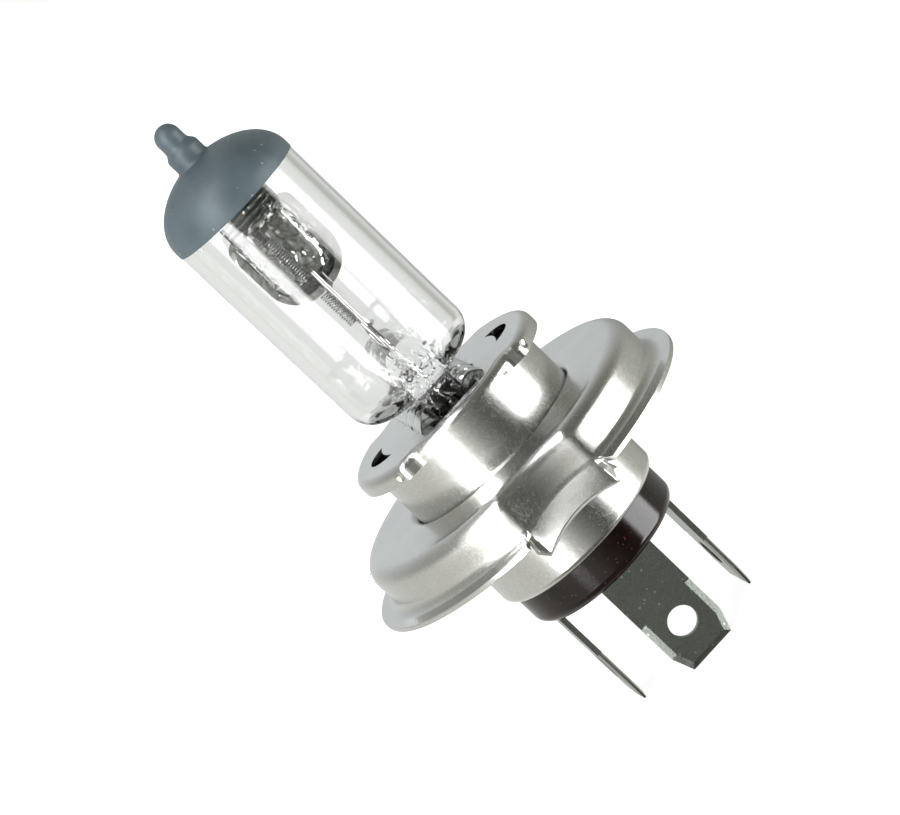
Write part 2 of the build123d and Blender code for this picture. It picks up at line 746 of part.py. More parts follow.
# ---------------------------------------------------------------- insulator
collar_low_z = shell_bottom_z + shell_wall + seat_gap
with BuildPart() as insulator:
    with BuildSketch(Plane.XY.offset(collar_low_z)):
        Circle(shell_inner_r - slip_gap)
    extrude(amount=insulator_top_z - collar_low_z)
    fillet(edges().group_by(Axis.Z)[0], insulator_collar_radius)
    with BuildSketch(Plane.XY.offset(insulator_bottom_z)):
        Circle(insulator_r)
    extrude(amount=collar_low_z - insulator_bottom_z + 2 * insulator_collar_radius)
    fillet(edges().group_by(Axis.Z)[0], insulator_edge_radius)
    # slots for the blades and a moulded recess between them
    with BuildSketch(Plane.XY.offset(insulator_bottom_z)):
        for place in ((0, -blade_offset, 0), (-blade_offset, 0, 90), (blade_offset, 0, 90)):
            with Locations(Location((place[0], place[1]), place[2])):
                Rectangle(blade_width + 2 * slip_gap, blade_thickness + 2 * slip_gap)
    extrude(amount=insulator_top_z - insulator_bottom_z, mode=Mode.SUBTRACT)
    with BuildSketch(Plane.XY.offset(insulator_bottom_z)):
        Circle(insulator_recess_d / 2)
    extrude(amount=insulator_recess_depth, mode=Mode.SUBTRACT)
insulator.part.label = "insulator"
write(insulator.part, "insulator")

# ---------------------------------------------------------------- terminals
blade_inner = blade_offset - blade_thickness / 2
blade_tip_z = blade_end_z + blade_tip_length
blade_bevel_z = blade_end_z + blade_bevel_length
blade_hole_z = blade_end_z + blade_hole_rise


def terminal_part(turn, foot_pads, hole_at, name):
    """A blade turned about the axis from the front, with its foot on top of the insulator."""
    across = Vector(math.cos(math.radians(turn)), math.sin(math.radians(turn)), 0)
    outwards = Vector(across.Y, -across.X, 0)
    inner_face = Plane(origin=outwards * blade_inner, x_dir=across, z_dir=outwards)
    with BuildPart() as terminal:
        # coined end: tapered tip with all its lower edges bevelled
        with BuildSketch(inner_face):
            with BuildLine():
                Polyline(
                    (-blade_width / 2, blade_bevel_z),
                    (-blade_width / 2, blade_tip_z),
                    (-blade_tip_width / 2, blade_end_z),
                    (blade_tip_width / 2, blade_end_z),
                    (blade_width / 2, blade_tip_z),
                    (blade_width / 2, blade_bevel_z),
                    close=True,
                )
            make_face()
        extrude(amount=blade_thickness)
        for face in faces().filter_by(Axis(origin=(0, 0, 0), direction=outwards)):
            coined = face.edges().filter_by(lambda edge: edge.center().Z < blade_bevel_z - 0.01)
            chamfer(coined, length=blade_bevel_width, length2=blade_bevel, reference=face)
        # blade and foot
        with BuildSketch(inner_face):
            with Locations((0, blade_bevel_z)):
                Rectangle(blade_width, foot_top_z - blade_bevel_z, align=(Align.CENTER, Align.MIN))
        extrude(amount=blade_thickness)
        with BuildSketch(Plane.XY.offset(foot_low_z)):
            for low_x, high_x, low_y, high_y in foot_pads:
                with Locations(((low_x + high_x) / 2, (low_y + high_y) / 2)):
                    Rectangle(high_x - low_x, high_y - low_y)
        extrude(amount=blade_thickness)
        # holes for the mating spring contact and for the pin
        with BuildSketch(inner_face):
            with Locations((0, blade_hole_z)):
                Circle(blade_hole_d / 2)
        extrude(amount=blade_thickness, mode=Mode.SUBTRACT)
        with BuildSketch(Plane.XY.offset(foot_low_z)):
            with Locations(hole_at):
                Circle(pin_d / 2 + seal_gap)
        extrude(amount=blade_thickness, mode=Mode.SUBTRACT)
        # rounded bend between blade and foot
        bend = edges().filter_by(Axis(origin=(0, 0, 0), direction=across)).group_by(Axis.Z)[-1]
        fillet(bend.sort_by(Axis(origin=(0, 0, 0), direction=outwards))[-1], blade_bend_radius)
    terminal.part.label = name
    return terminal.part


pin_edge = lead_spacing - foot_overhang
low_foot = [(-foot_width / 2, foot_width / 2, -blade_inner, -pin_edge)]
common_foot = [(-blade_inner, foot_overhang, -foot_width / 2, foot_width / 2)]
high_foot = [
    (foot_arm_x, blade_inner, foot_arm_y, blade_width / 2),
    (-foot_overhang, foot_arm_x + foot_overhang, pin_edge, lead_spacing + foot_overhang),
]
terminals = (
    ("low_beam_terminal", 0, low_foot, (0, -lead_spacing)),
    ("common_terminal", -90, common_foot, (0, 0)),
    ("high_beam_terminal", 90, high_foot, (0, lead_spacing)),
)
for name, turn, pads, hole_at in terminals:
    write(terminal_part(turn, pads, hole_at, name), name)
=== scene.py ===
"""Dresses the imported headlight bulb: quartz, coating, stamped metal, filaments, insulator and blades."""

import logging
import math
from dataclasses import dataclass
from enum import Enum

import bmesh
import bpy
from mathutils import Matrix, Vector


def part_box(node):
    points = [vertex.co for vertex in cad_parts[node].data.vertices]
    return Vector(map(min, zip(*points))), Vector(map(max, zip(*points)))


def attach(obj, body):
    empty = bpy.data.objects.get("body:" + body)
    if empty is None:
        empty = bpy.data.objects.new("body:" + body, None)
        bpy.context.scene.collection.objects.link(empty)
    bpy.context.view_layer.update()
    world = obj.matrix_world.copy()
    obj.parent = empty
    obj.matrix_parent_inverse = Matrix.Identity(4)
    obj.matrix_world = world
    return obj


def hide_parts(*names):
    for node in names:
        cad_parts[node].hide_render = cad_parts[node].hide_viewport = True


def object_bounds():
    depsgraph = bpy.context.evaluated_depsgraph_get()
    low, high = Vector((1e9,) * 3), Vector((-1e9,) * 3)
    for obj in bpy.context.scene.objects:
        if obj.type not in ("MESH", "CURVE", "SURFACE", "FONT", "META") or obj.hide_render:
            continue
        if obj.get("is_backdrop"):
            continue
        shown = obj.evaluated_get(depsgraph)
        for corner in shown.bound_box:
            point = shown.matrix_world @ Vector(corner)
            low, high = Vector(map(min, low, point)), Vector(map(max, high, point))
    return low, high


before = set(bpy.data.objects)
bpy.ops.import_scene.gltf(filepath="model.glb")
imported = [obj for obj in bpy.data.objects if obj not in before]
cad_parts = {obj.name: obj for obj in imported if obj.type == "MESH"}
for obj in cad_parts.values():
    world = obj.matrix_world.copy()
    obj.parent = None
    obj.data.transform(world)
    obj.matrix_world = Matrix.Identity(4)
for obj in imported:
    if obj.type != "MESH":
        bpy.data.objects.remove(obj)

LOG = logging.getLogger("headlight_bulb")
MM = 0.001
ROOT = "root"
WHITE = (1.0, 1.0, 1.0, 1.0)
Colour = tuple[float, float, float]


class Coat(Enum):
    """Names of the bulb's finishes."""

    QUARTZ = "quartz"
    TIP_PAINT = "tip_paint"
    POLISHED_CUP = "polished_cup"
    SATIN_SHEET = "satin_sheet"
    LEAD_WIRE = "lead_wire"
    TUNGSTEN = "tungsten"
    BLADE_SHEET = "blade_sheet"
    LEAF_SHEET = "leaf_sheet"
    MOULDING = "moulding"
    FOIL = "foil"


# ------------------------------------------------------------------ shader helpers
class Tree:
    """Short ways to add and link the nodes of one node tree."""

    def __init__(self, tree: bpy.types.NodeTree) -> None:
        """Keep the tree.

        Args:
            tree: the material's, world's or group's node tree.
        """
        self.tree = tree

    def add(
        self, kind: str, inputs: dict[str | int, object] | None = None, **settings: object
    ) -> bpy.types.Node:
        """Add a node.

        Args:
            kind: the node's type name without its ShaderNode prefix, or a full type name.
            inputs: values or other nodes' sockets for the node's inputs, by name or place.
            **settings: attributes to set on the node.

        Returns:
            The new node.
        """
        full = kind if kind.startswith("Node") else "ShaderNode" + kind
        node = self.tree.nodes.new(full)
        for key, value in settings.items():
            setattr(node, key, value)
        for key, value in (inputs or {}).items():
            self.feed(node.inputs[key], value)
        return node

    def feed(self, target: bpy.types.NodeSocket, value: object) -> None:
        """Link an input to a socket, or set it to a plain value.

        Args:
            target: the input.
            value: a socket or a value.
        """
        if isinstance(value, bpy.types.NodeSocket):
            self.tree.links.new(value, target)
        else:
            target.default_value = value

    def math(self, operation: str, *values: bpy.types.NodeSocket | float) -> bpy.types.NodeSocket:
        """Return the output of a Math node fed with sockets or numbers."""
        return self.add("Math", dict(enumerate(values)), operation=operation).outputs[0]

    def place(self) -> bpy.types.NodeSocket:
        """Return the place on the object."""
        return self.add("TexCoord").outputs["Object"]

    def noise(
        self, vector: bpy.types.NodeSocket, scale: float, detail: float, distortion: float = 0.0
    ) -> bpy.types.NodeSocket:
        """Add a noise.

        Args:
            vector: where it is read.
            scale: its scale, in waves a metre.
            detail: octaves of finer noise in it.
            distortion: how far it is warped.

        Returns:
            The noise, mostly from 0.3 to 0.7.
        """
        inputs = {"Vector": vector, "Scale": scale, "Detail": detail, "Distortion": distortion}
        return self.add("TexNoise", inputs).outputs["Fac"]

    def ease(
        self, value: bpy.types.NodeSocket, start: float, end: float, low: float = 0.0, high: float = 1.0
    ) -> bpy.types.NodeSocket:
        """Add a smooth rise or fall.

        Args:
            value: what drives it.
            start: the value where it starts.
            end: the value where it ends.
            low: the result at the start.
            high: the result at the end.

        Returns:
            The result.
        """
        inputs = {"Value": value, "From Min": start, "From Max": end, "To Min": low, "To Max": high}
        return self.add("MapRange", inputs, interpolation_type="SMOOTHSTEP").outputs["Result"]

    def mix(self, factor: bpy.types.NodeSocket, first: object, second: object) -> bpy.types.NodeSocket:
        """Return a blend of two colours."""
        inputs = {"Factor": factor, "A": first, "B": second}
        return self.add("Mix", inputs, data_type="RGBA").outputs["Result"]

    def ramp(self, factor: bpy.types.NodeSocket, stops: list[tuple[float, Colour]]) -> bpy.types.NodeSocket:
        """Add a colour ramp.

        Args:
            factor: what drives the ramp.
            stops: positions with their colours.

        Returns:
            The ramp's colour.
        """
        node = self.add("ValToRGB", {"Fac": factor})
        elements = node.color_ramp.elements
        while len(elements) < len(stops):
            elements.new(0.5)
        for element, (position, colour) in zip(elements, stops):
            element.position = position
            element.color = (*colour, 1.0)
        return node.outputs["Color"]

    def specks(self, scale: float, share: float) -> bpy.types.NodeSocket:
        """Return a mask of scattered specks."""
        return self.add("Group", {"Scale": scale, "Share": share}, node_tree=SPECKS).outputs["Specks"]

    def emboss(self, shader: bpy.types.Node, height: bpy.types.NodeSocket, distance: float = 1.0) -> None:
        """Give a shader its relief.

        Args:
            shader: the shader.
            height: the relief.
            distance: what a height of 1 stands for, in metres.
        """
        bump = self.add("Bump", {"Height": height, "Distance": distance})
        self.feed(shader.inputs["Normal"], bump.outputs["Normal"])


def new_group(name: str, inputs: dict[str, float], outputs: tuple[str, ...]) -> Tree:
    """Start a shader node group whose sockets carry numbers.

    Args:
        name: the group's name.
        inputs: names of the inputs with their defaults.
        outputs: names of the outputs.

    Returns:
        The group's tree.
    """
    group = bpy.data.node_groups.new(name, "ShaderNodeTree")
    for title, default in inputs.items():
        socket = group.interface.new_socket(name=title, in_out="INPUT", socket_type="NodeSocketFloat")
        socket.default_value = default
    for title in outputs:
        group.interface.new_socket(name=title, in_out="OUTPUT", socket_type="NodeSocketFloat")
    return Tree(group)


def new_material(name: str) -> tuple[bpy.types.Material, Tree, bpy.types.Node]:
    """Start a material.

    Args:
        name: the material's name.

    Returns:
        The material, its tree and its shader.
    """
    material = bpy.data.materials.new(name)
    material.use_nodes = True
    return material, Tree(material.node_tree), material.node_tree.nodes["Principled BSDF"]


GRAIN_SCALE = 9000.0  # noise scales, in waves a metre
SCRATCH_SCALE = 700.0
STAIN_SCALE = 160.0
SCRATCH_WIDTH = 0.006  # half the band of the noise that makes a scratch
SPECK_RADIUS = 0.22  # as a share of a cell


def grain_group() -> bpy.types.NodeTree:
    """Build the group for rolled sheet: a directional grain, fine scratches and cloudy stains.

    Returns:
        The node group, with Grain, Scratches and Stain outputs from 0 to 1.
    """
    tree = new_group("rolled_grain", {"Scale": 1.0, "Stretch": 12.0}, ("Grain", "Scratches", "Stain"))
    inside = tree.add("NodeGroupInput").outputs
    place = tree.place()
    along = tree.math("DIVIDE", inside["Scale"], inside["Stretch"])
    stretch = tree.add("CombineXYZ", {"X": inside["Scale"], "Y": inside["Scale"], "Z": along})
    spread = tree.add("VectorMath", {0: place, 1: stretch.outputs[0]}, operation="MULTIPLY")
    scratch = tree.noise(place, SCRATCH_SCALE, detail=2.0, distortion=1.2)
    from_line = tree.math("ABSOLUTE", tree.math("SUBTRACT", scratch, 0.5))
    results = {
        "Grain": tree.noise(spread.outputs[0], GRAIN_SCALE, detail=3.0),
        "Scratches": tree.ease(from_line, 0.0, SCRATCH_WIDTH, 1.0, 0.0),
        "Stain": tree.noise(place, STAIN_SCALE, detail=4.0),
    }
    tree.add("NodeGroupOutput", results)
    return tree.tree


def speck_group() -> bpy.types.NodeTree:
    """Build the group for small scattered specks.

    Returns:
        The node group, with a Specks output that is 1 on a speck.
    """
    tree = new_group("specks", {"Scale": 1800.0, "Share": 0.1}, ("Specks",))
    inside = tree.add("NodeGroupInput").outputs
    cells = tree.add("TexVoronoi", {"Vector": tree.place(), "Scale": inside["Scale"]}).outputs
    chance = tree.add("TexWhiteNoise", {"Vector": cells["Position"]}, noise_dimensions="3D")
    kept = tree.math("LESS_THAN", chance.outputs["Value"], inside["Share"])
    near = tree.math("LESS_THAN", cells["Distance"], SPECK_RADIUS)
    tree.add("NodeGroupOutput", {"Specks": tree.math("MULTIPLY", kept, near)})
    return tree.tree


GRAIN = grain_group()
SPECKS = speck_group()


@dataclass(frozen=True)
class MetalFinish:
    """Rolled or drawn metal with grain, scratches and stains.

    Attributes:
        colour: mean colour.
        roughness: mean roughness.
        grain: strength of the grain in colour and roughness.
        scratch: strength of the scratches.
        bump: height of the grain, in metres.
        stretch: how many times the grain is longer than wide.
        specks: share of small bright specks.
        dents: height of slow dents from stamping, in metres.
        speck_scale: cells of the specks a metre.
        speck_colour: colour of the specks.
        dent_scale: dents a metre.
    """

    colour: Colour
    roughness: float
    grain: float
    scratch: float
    bump: float
    stretch: float
    specks: float = 0.0
    dents: float = 0.0
    speck_scale: float = 2200.0
    speck_colour: Colour = (0.75, 0.75, 0.75)
    dent_scale: float = 600.0

    def build(self, name: str) -> bpy.types.Material:
        """Build the material.

        Args:
            name: the material's name.

        Returns:
            The material.
        """
        material, tree, shader = new_material(name)
        shader.inputs["Metallic"].default_value = 1.0
        sheet = tree.add("Group", {"Scale": 1.0, "Stretch": self.stretch}, node_tree=GRAIN).outputs
        colour = self.toned(tree, sheet)
        if self.specks > 0:
            specks = tree.specks(self.speck_scale, self.specks)
            colour = tree.mix(specks, colour, (*self.speck_colour, 1.0))
        tree.feed(shader.inputs["Base Color"], colour)
        uneven = tree.math("SUBTRACT", sheet["Grain"], 0.5)
        rough = tree.math("MULTIPLY", uneven, self.grain * self.roughness * 2)
        worn = tree.math("ADD", rough, tree.math("MULTIPLY", sheet["Scratches"], self.scratch * 0.4))
        tree.feed(shader.inputs["Roughness"], tree.math("ADD", worn, self.roughness))
        cut = tree.math("MULTIPLY", sheet["Scratches"], self.scratch)
        height = tree.math("MULTIPLY", tree.math("SUBTRACT", sheet["Grain"], cut), self.bump)
        if self.dents > 0:
            dents = tree.noise(tree.place(), self.dent_scale, detail=1.0, distortion=0.8)
            height = tree.math("ADD", height, tree.math("MULTIPLY", dents, self.dents))
        tree.emboss(shader, height)
        return material

    def toned(self, tree: Tree, sheet: bpy.types.NodeOutputs) -> bpy.types.NodeSocket:
        """Let the colour vary with the grain and the stains.

        Args:
            tree: the material's nodes.
            sheet: outputs of the grain's group.

        Returns:
            The colour.
        """
        grain = tree.math("MULTIPLY", sheet["Grain"], self.grain)
        stain = tree.math("MULTIPLY", sheet["Stain"], self.grain * 0.6)
        shade = tree.math("ADD", tree.math("ADD", grain, stain), 1.0 - self.grain * 0.8)
        return tree.add("VectorMath", {0: self.colour, "Scale": shade}, operation="SCALE").outputs[0]


@dataclass(frozen=True)
class QuartzFinish:
    """Clear fused quartz, faintly uneven and crinkled where the hot tube was pinched flat.

    Attributes:
        tint: colour of the quartz.
        bending: its refractive index.
        waviness: height of the slow waves on its surface, in metres.
        wave_scale: the slow waves' scale, in waves a metre.
        haze: roughness where the surface is least clear.
        crinkle: height of the crinkles at the pinch, in metres.
        crinkle_scale: the crinkles' scale, in waves a metre.
        pinch_heights: where the crinkles are full and where they end, in metres.
        pinch_sides: how far from the flat's middle plane they are full and where they end, in metres.
    """

    tint: Colour = (0.975, 0.98, 0.975)
    bending: float = 1.458
    waviness: float = 0.00001
    wave_scale: float = 220.0
    haze: float = 0.02
    crinkle: float = 0.0006
    crinkle_scale: float = 420.0
    pinch_heights: tuple[float, float] = (0.0175, 0.0220)
    pinch_sides: tuple[float, float] = (0.0026, 0.0042)

    def build(self, name: str) -> bpy.types.Material:
        """Build the material.

        Args:
            name: the material's name.

        Returns:
            The material.
        """
        material, tree, shader = new_material(name)
        shader.inputs["Metallic"].default_value = 0.0
        shader.inputs["Transmission Weight"].default_value = 1.0
        shader.inputs["IOR"].default_value = self.bending
        shader.inputs["Base Color"].default_value = (*self.tint, 1.0)
        place = tree.place()
        waves = tree.noise(place, self.wave_scale, detail=1.0)
        rough = tree.add("MapRange", {"Value": waves, "To Min": 0.0, "To Max": self.haze})
        tree.feed(shader.inputs["Roughness"], rough.outputs["Result"])
        swirls = tree.noise(place, self.crinkle_scale, detail=1.0, distortion=1.2)
        height = tree.math("MULTIPLY", swirls, self.crinkle)
        parts = tree.add("SeparateXYZ", {0: place}).outputs
        sideways = tree.math("ABSOLUTE", parts["X"])
        for value, (full, end) in ((parts["Z"], self.pinch_heights), (sideways, self.pinch_sides)):
            height = tree.math("MULTIPLY", height, tree.ease(value, full, end, 1.0, 0.0))
        slow = tree.math("MULTIPLY", waves, self.waviness)
        tree.emboss(shader, tree.math("ADD", slow, height))
        return material


@dataclass(frozen=True)
class PaintFinish:
    """Opaque paint or moulded plastic with mottling, specks and a fine bump.

    Attributes:
        low: darkest colour.
        high: lightest colour.
        speck: colour of the specks.
        share: share of specks.
        roughness: mean roughness.
        scale: scale of the mottling, in waves a metre.
        bump: height of the fine texture, in metres.
        gloss: how strongly it mirrors, 0.5 for common plastic.
    """

    low: Colour
    high: Colour
    speck: Colour
    share: float
    roughness: float
    scale: float
    bump: float
    gloss: float = 0.5

    def build(self, name: str) -> bpy.types.Material:
        """Build the material.

        Args:
            name: the material's name.

        Returns:
            The material.
        """
        material, tree, shader = new_material(name)
        shader.inputs["Specular IOR Level"].default_value = self.gloss
        place = tree.place()
        mottle = tree.noise(place, self.scale, detail=5.0)
        colour = tree.ramp(mottle, [(0.35, self.low), (0.65, self.high)])
        specks = tree.specks(self.scale * 6, self.share)
        tree.feed(shader.inputs["Base Color"], tree.mix(specks, colour, (*self.speck, 1.0)))
        fine = tree.noise(place, self.scale * 10, detail=2.0)
        uneven = tree.math("MULTIPLY", tree.math("SUBTRACT", fine, 0.5), self.roughness * 0.5)
        tree.feed(shader.inputs["Roughness"], tree.math("ADD", uneven, self.roughness))
        tree.emboss(shader, fine, self.bump)
        return material


FINISHES = {
    Coat.QUARTZ: QuartzFinish(),
    Coat.TIP_PAINT: PaintFinish(
        low=(0.080, 0.113, 0.130), high=(0.108, 0.146, 0.167), speck=(0.26, 0.31, 0.33),
        share=0.06, roughness=0.5, scale=300.0, bump=0.00001,
    ),
    Coat.POLISHED_CUP: MetalFinish(
        colour=(0.58, 0.59, 0.58), roughness=0.07, grain=0.12, scratch=0.1,
        bump=0.0000005, stretch=4.0, dents=0.00035,
    ),
    Coat.SATIN_SHEET: MetalFinish(
        colour=(0.59, 0.59, 0.57), roughness=0.24, grain=0.36, scratch=0.06, bump=0.0000012, stretch=3.0,
    ),
    Coat.LEAD_WIRE: MetalFinish(
        colour=(0.45, 0.45, 0.45), roughness=0.25, grain=0.3, scratch=0.1, bump=0.000001, stretch=20.0,
    ),
    Coat.TUNGSTEN: MetalFinish(
        colour=(0.3, 0.3, 0.31), roughness=0.35, grain=0.3, scratch=0.1, bump=0.000001, stretch=4.0,
    ),
    Coat.BLADE_SHEET: MetalFinish(
        colour=(0.27, 0.295, 0.27), roughness=0.33, grain=0.6, scratch=0.15,
        bump=0.000002, stretch=3.0, specks=0.12,
    ),
    Coat.MOULDING: PaintFinish(
        low=(0.003, 0.001, 0.0008), high=(0.010, 0.004, 0.003), speck=(0.07, 0.025, 0.018),
        share=0.25, roughness=0.12, scale=400.0, bump=0.000003, gloss=0.4,
    ),
    Coat.LEAF_SHEET: MetalFinish(
        colour=(0.5, 0.52, 0.5), roughness=0.12, grain=0.2, scratch=0.3, bump=0.0000008, stretch=3.0,
    ),
    Coat.FOIL: MetalFinish(
        colour=(0.5, 0.48, 0.46), roughness=0.3, grain=0.3, scratch=0.2, bump=0.000002, stretch=3.0,
    ),
}
NODE_COATS = {
    "glass_envelope": Coat.QUARTZ,
    "opaque_tip_coating": Coat.TIP_PAINT,
    "low_beam_shield": Coat.POLISHED_CUP,
    "shield_weld_tab": Coat.POLISHED_CUP,
    "shield_post": Coat.LEAD_WIRE,
    "low_beam_filament": Coat.TUNGSTEN,
    "high_beam_filament": Coat.TUNGSTEN,
    "low_beam_lead": Coat.LEAD_WIRE,
    "common_lead": Coat.LEAD_WIRE,
    "high_beam_lead": Coat.LEAD_WIRE,
    "low_beam_foil": Coat.FOIL,
    "common_foil": Coat.FOIL,
    "high_beam_foil": Coat.FOIL,
    "low_beam_pin": Coat.LEAD_WIRE,
    "common_pin": Coat.LEAD_WIRE,
    "high_beam_pin": Coat.LEAD_WIRE,
    "burner_holder": Coat.SATIN_SHEET,
    "focusing_sleeve": Coat.SATIN_SHEET,
    "reference_flange": Coat.SATIN_SHEET,
    "base_shell": Coat.SATIN_SHEET,
    "insulator": Coat.MOULDING,
    "low_beam_terminal": Coat.BLADE_SHEET,
    "common_terminal": Coat.BLADE_SHEET,
    "high_beam_terminal": Coat.BLADE_SHEET,
}


# ------------------------------------------------------------------ shape helpers
MERGE = 0.001 * MM  # points closer than this are one


def rounded(corners: list[tuple[float, float, float]], steps: int) -> list[Vector]:
    """Round the corners of an open outline.

    Args:
        corners: across, up and corner radius of each point, in metres.
        steps: segments in each rounded corner.

    Returns:
        Points of the outline in the XZ plane.
    """
    points = [Vector((corners[0][0], 0, corners[0][1]))]
    for before, here, after in zip(corners, corners[1:], corners[2:]):
        middle = Vector((here[0], 0, here[1]))
        back = (Vector((before[0], 0, before[1])) - middle).normalized()
        ahead = (Vector((after[0], 0, after[1])) - middle).normalized()
        half = back.angle(ahead) / 2
        centre = middle + (back + ahead).normalized() * here[2] / math.sin(half)
        start = middle + back * here[2] / math.tan(half) - centre
        end = middle + ahead * here[2] / math.tan(half) - centre
        for step in range(steps + 1):
            points.append(centre + start.normalized().slerp(end.normalized(), step / steps) * here[2])
    points.append(Vector((corners[-1][0], 0, corners[-1][1])))
    return points


def smooth_step(value: float, low: float, high: float) -> float:
    """Return 0 below low, 1 above high and a smooth rise between them."""
    share = min(1.0, max(0.0, (value - low) / (high - low)))
    return share * share * (3 - 2 * share)


def piece_from(shape: bmesh.types.BMesh, name: str, material: bpy.types.Material) -> bpy.types.Object:
    """Turn a finished shape into an object that rides on the bulb.

    Args:
        shape: the shape, freed here.
        name: the object's name.
        material: its material.

    Returns:
        The object.
    """
    mesh = bpy.data.meshes.new(name)
    for face in shape.faces:
        face.smooth = True
    shape.to_mesh(mesh)
    shape.free()
    mesh.set_sharp_from_angle(angle=math.radians(40))
    mesh.materials.append(material)
    piece = bpy.data.objects.new(name, mesh)
    bpy.context.scene.collection.objects.link(piece)
    return piece


def sweep_wire(shape: bmesh.types.BMesh, points: list[Vector], radius: float, sides: int = 10) -> None:
    """Sweep a closed round wire through points.

    Args:
        shape: gets the wire's faces.
        points: centre line.
        radius: of the wire.
        sides: segments round the wire.
    """
    heading = (points[1] - points[0]).normalized()
    ring = bmesh.ops.create_circle(shape, cap_ends=True, segments=sides, radius=radius)["verts"]
    turn = Vector((0, 0, 1)).rotation_difference(heading).to_matrix()
    bmesh.ops.rotate(shape, verts=ring, cent=(0, 0, 0), matrix=turn)
    bmesh.ops.translate(shape, verts=ring, vec=points[0])
    edges = list({edge for vert in ring for edge in vert.link_edges})
    for index in range(1, len(points)):
        ahead = points[min(index + 1, len(points) - 1)] - points[index - 1]
        ahead = ahead.normalized() if ahead.length > 0 else heading
        grown = bmesh.ops.extrude_edge_only(shape, edges=edges)["geom"]
        ring = [item for item in grown if isinstance(item, bmesh.types.BMVert)]
        edges = [item for item in grown if isinstance(item, bmesh.types.BMEdge)]
        bmesh.ops.translate(shape, verts=ring, vec=points[index] - points[index - 1])
        turn = heading.rotation_difference(ahead).to_matrix()
        bmesh.ops.rotate(shape, verts=ring, cent=points[index], matrix=turn)
        heading = ahead
    bmesh.ops.holes_fill(shape, edges=edges, sides=sides)


WIRE_SIDES = 8  # segments round a coil's wire
TURN_STEPS = 20  # segments in one turn of a coil


@dataclass
class Filament:
    """One coiled tungsten wire with its two tails.

    Attributes:
        node: the CAD node that it stands for.
        centre: the coil's axis, across and along Y.
        base: height of the coil's lower end.
        length: of the coil.
        radius: of the coil.
        turns: number of turns.
        low_tail: points of the tail from the lower end.
        high_tail: points of the tail from the upper end.
        wire: radius of the wire.
    """

    node: str
    centre: tuple[float, float]
    base: float
    length: float
    radius: float
    turns: int
    low_tail: list[Vector]
    high_tail: list[Vector]
    wire: float = 0.1 * MM

    def build(self, material: bpy.types.Material) -> bpy.types.Object:
        """Wind the coil and add its tails.

        Args:
            material: the tungsten.

        Returns:
            The filament.
        """
        shape = bmesh.new()
        ring = bmesh.ops.create_circle(shape, cap_ends=False, segments=WIRE_SIDES, radius=self.wire)["verts"]
        bmesh.ops.rotate(shape, verts=ring, cent=(0, 0, 0), matrix=Matrix.Rotation(math.pi / 2, 3, "X"))
        start = Vector((self.centre[0] + self.radius, self.centre[1], self.base))
        bmesh.ops.translate(shape, verts=ring, vec=start)
        edges = list({edge for vert in ring for edge in vert.link_edges})
        steps = self.turns * TURN_STEPS
        bmesh.ops.spin(
            shape,
            geom=ring + edges,
            cent=(self.centre[0], self.centre[1], 0),
            axis=(0, 0, 1),
            dvec=(0, 0, self.length / steps),
            angle=2 * math.pi * self.turns,
            steps=steps,
            use_merge=False,
        )
        sweep_wire(shape, [start] + self.low_tail, self.wire)
        sweep_wire(shape, [start + Vector((0, 0, self.length))] + self.high_tail, self.wire)
        bmesh.ops.recalc_face_normals(shape, faces=shape.faces)
        piece = piece_from(shape, "wound_" + self.node, material)
        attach(piece, ROOT)
        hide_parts(self.node)
        LOG.info("%s: %d turns", self.node, self.turns)
        return piece


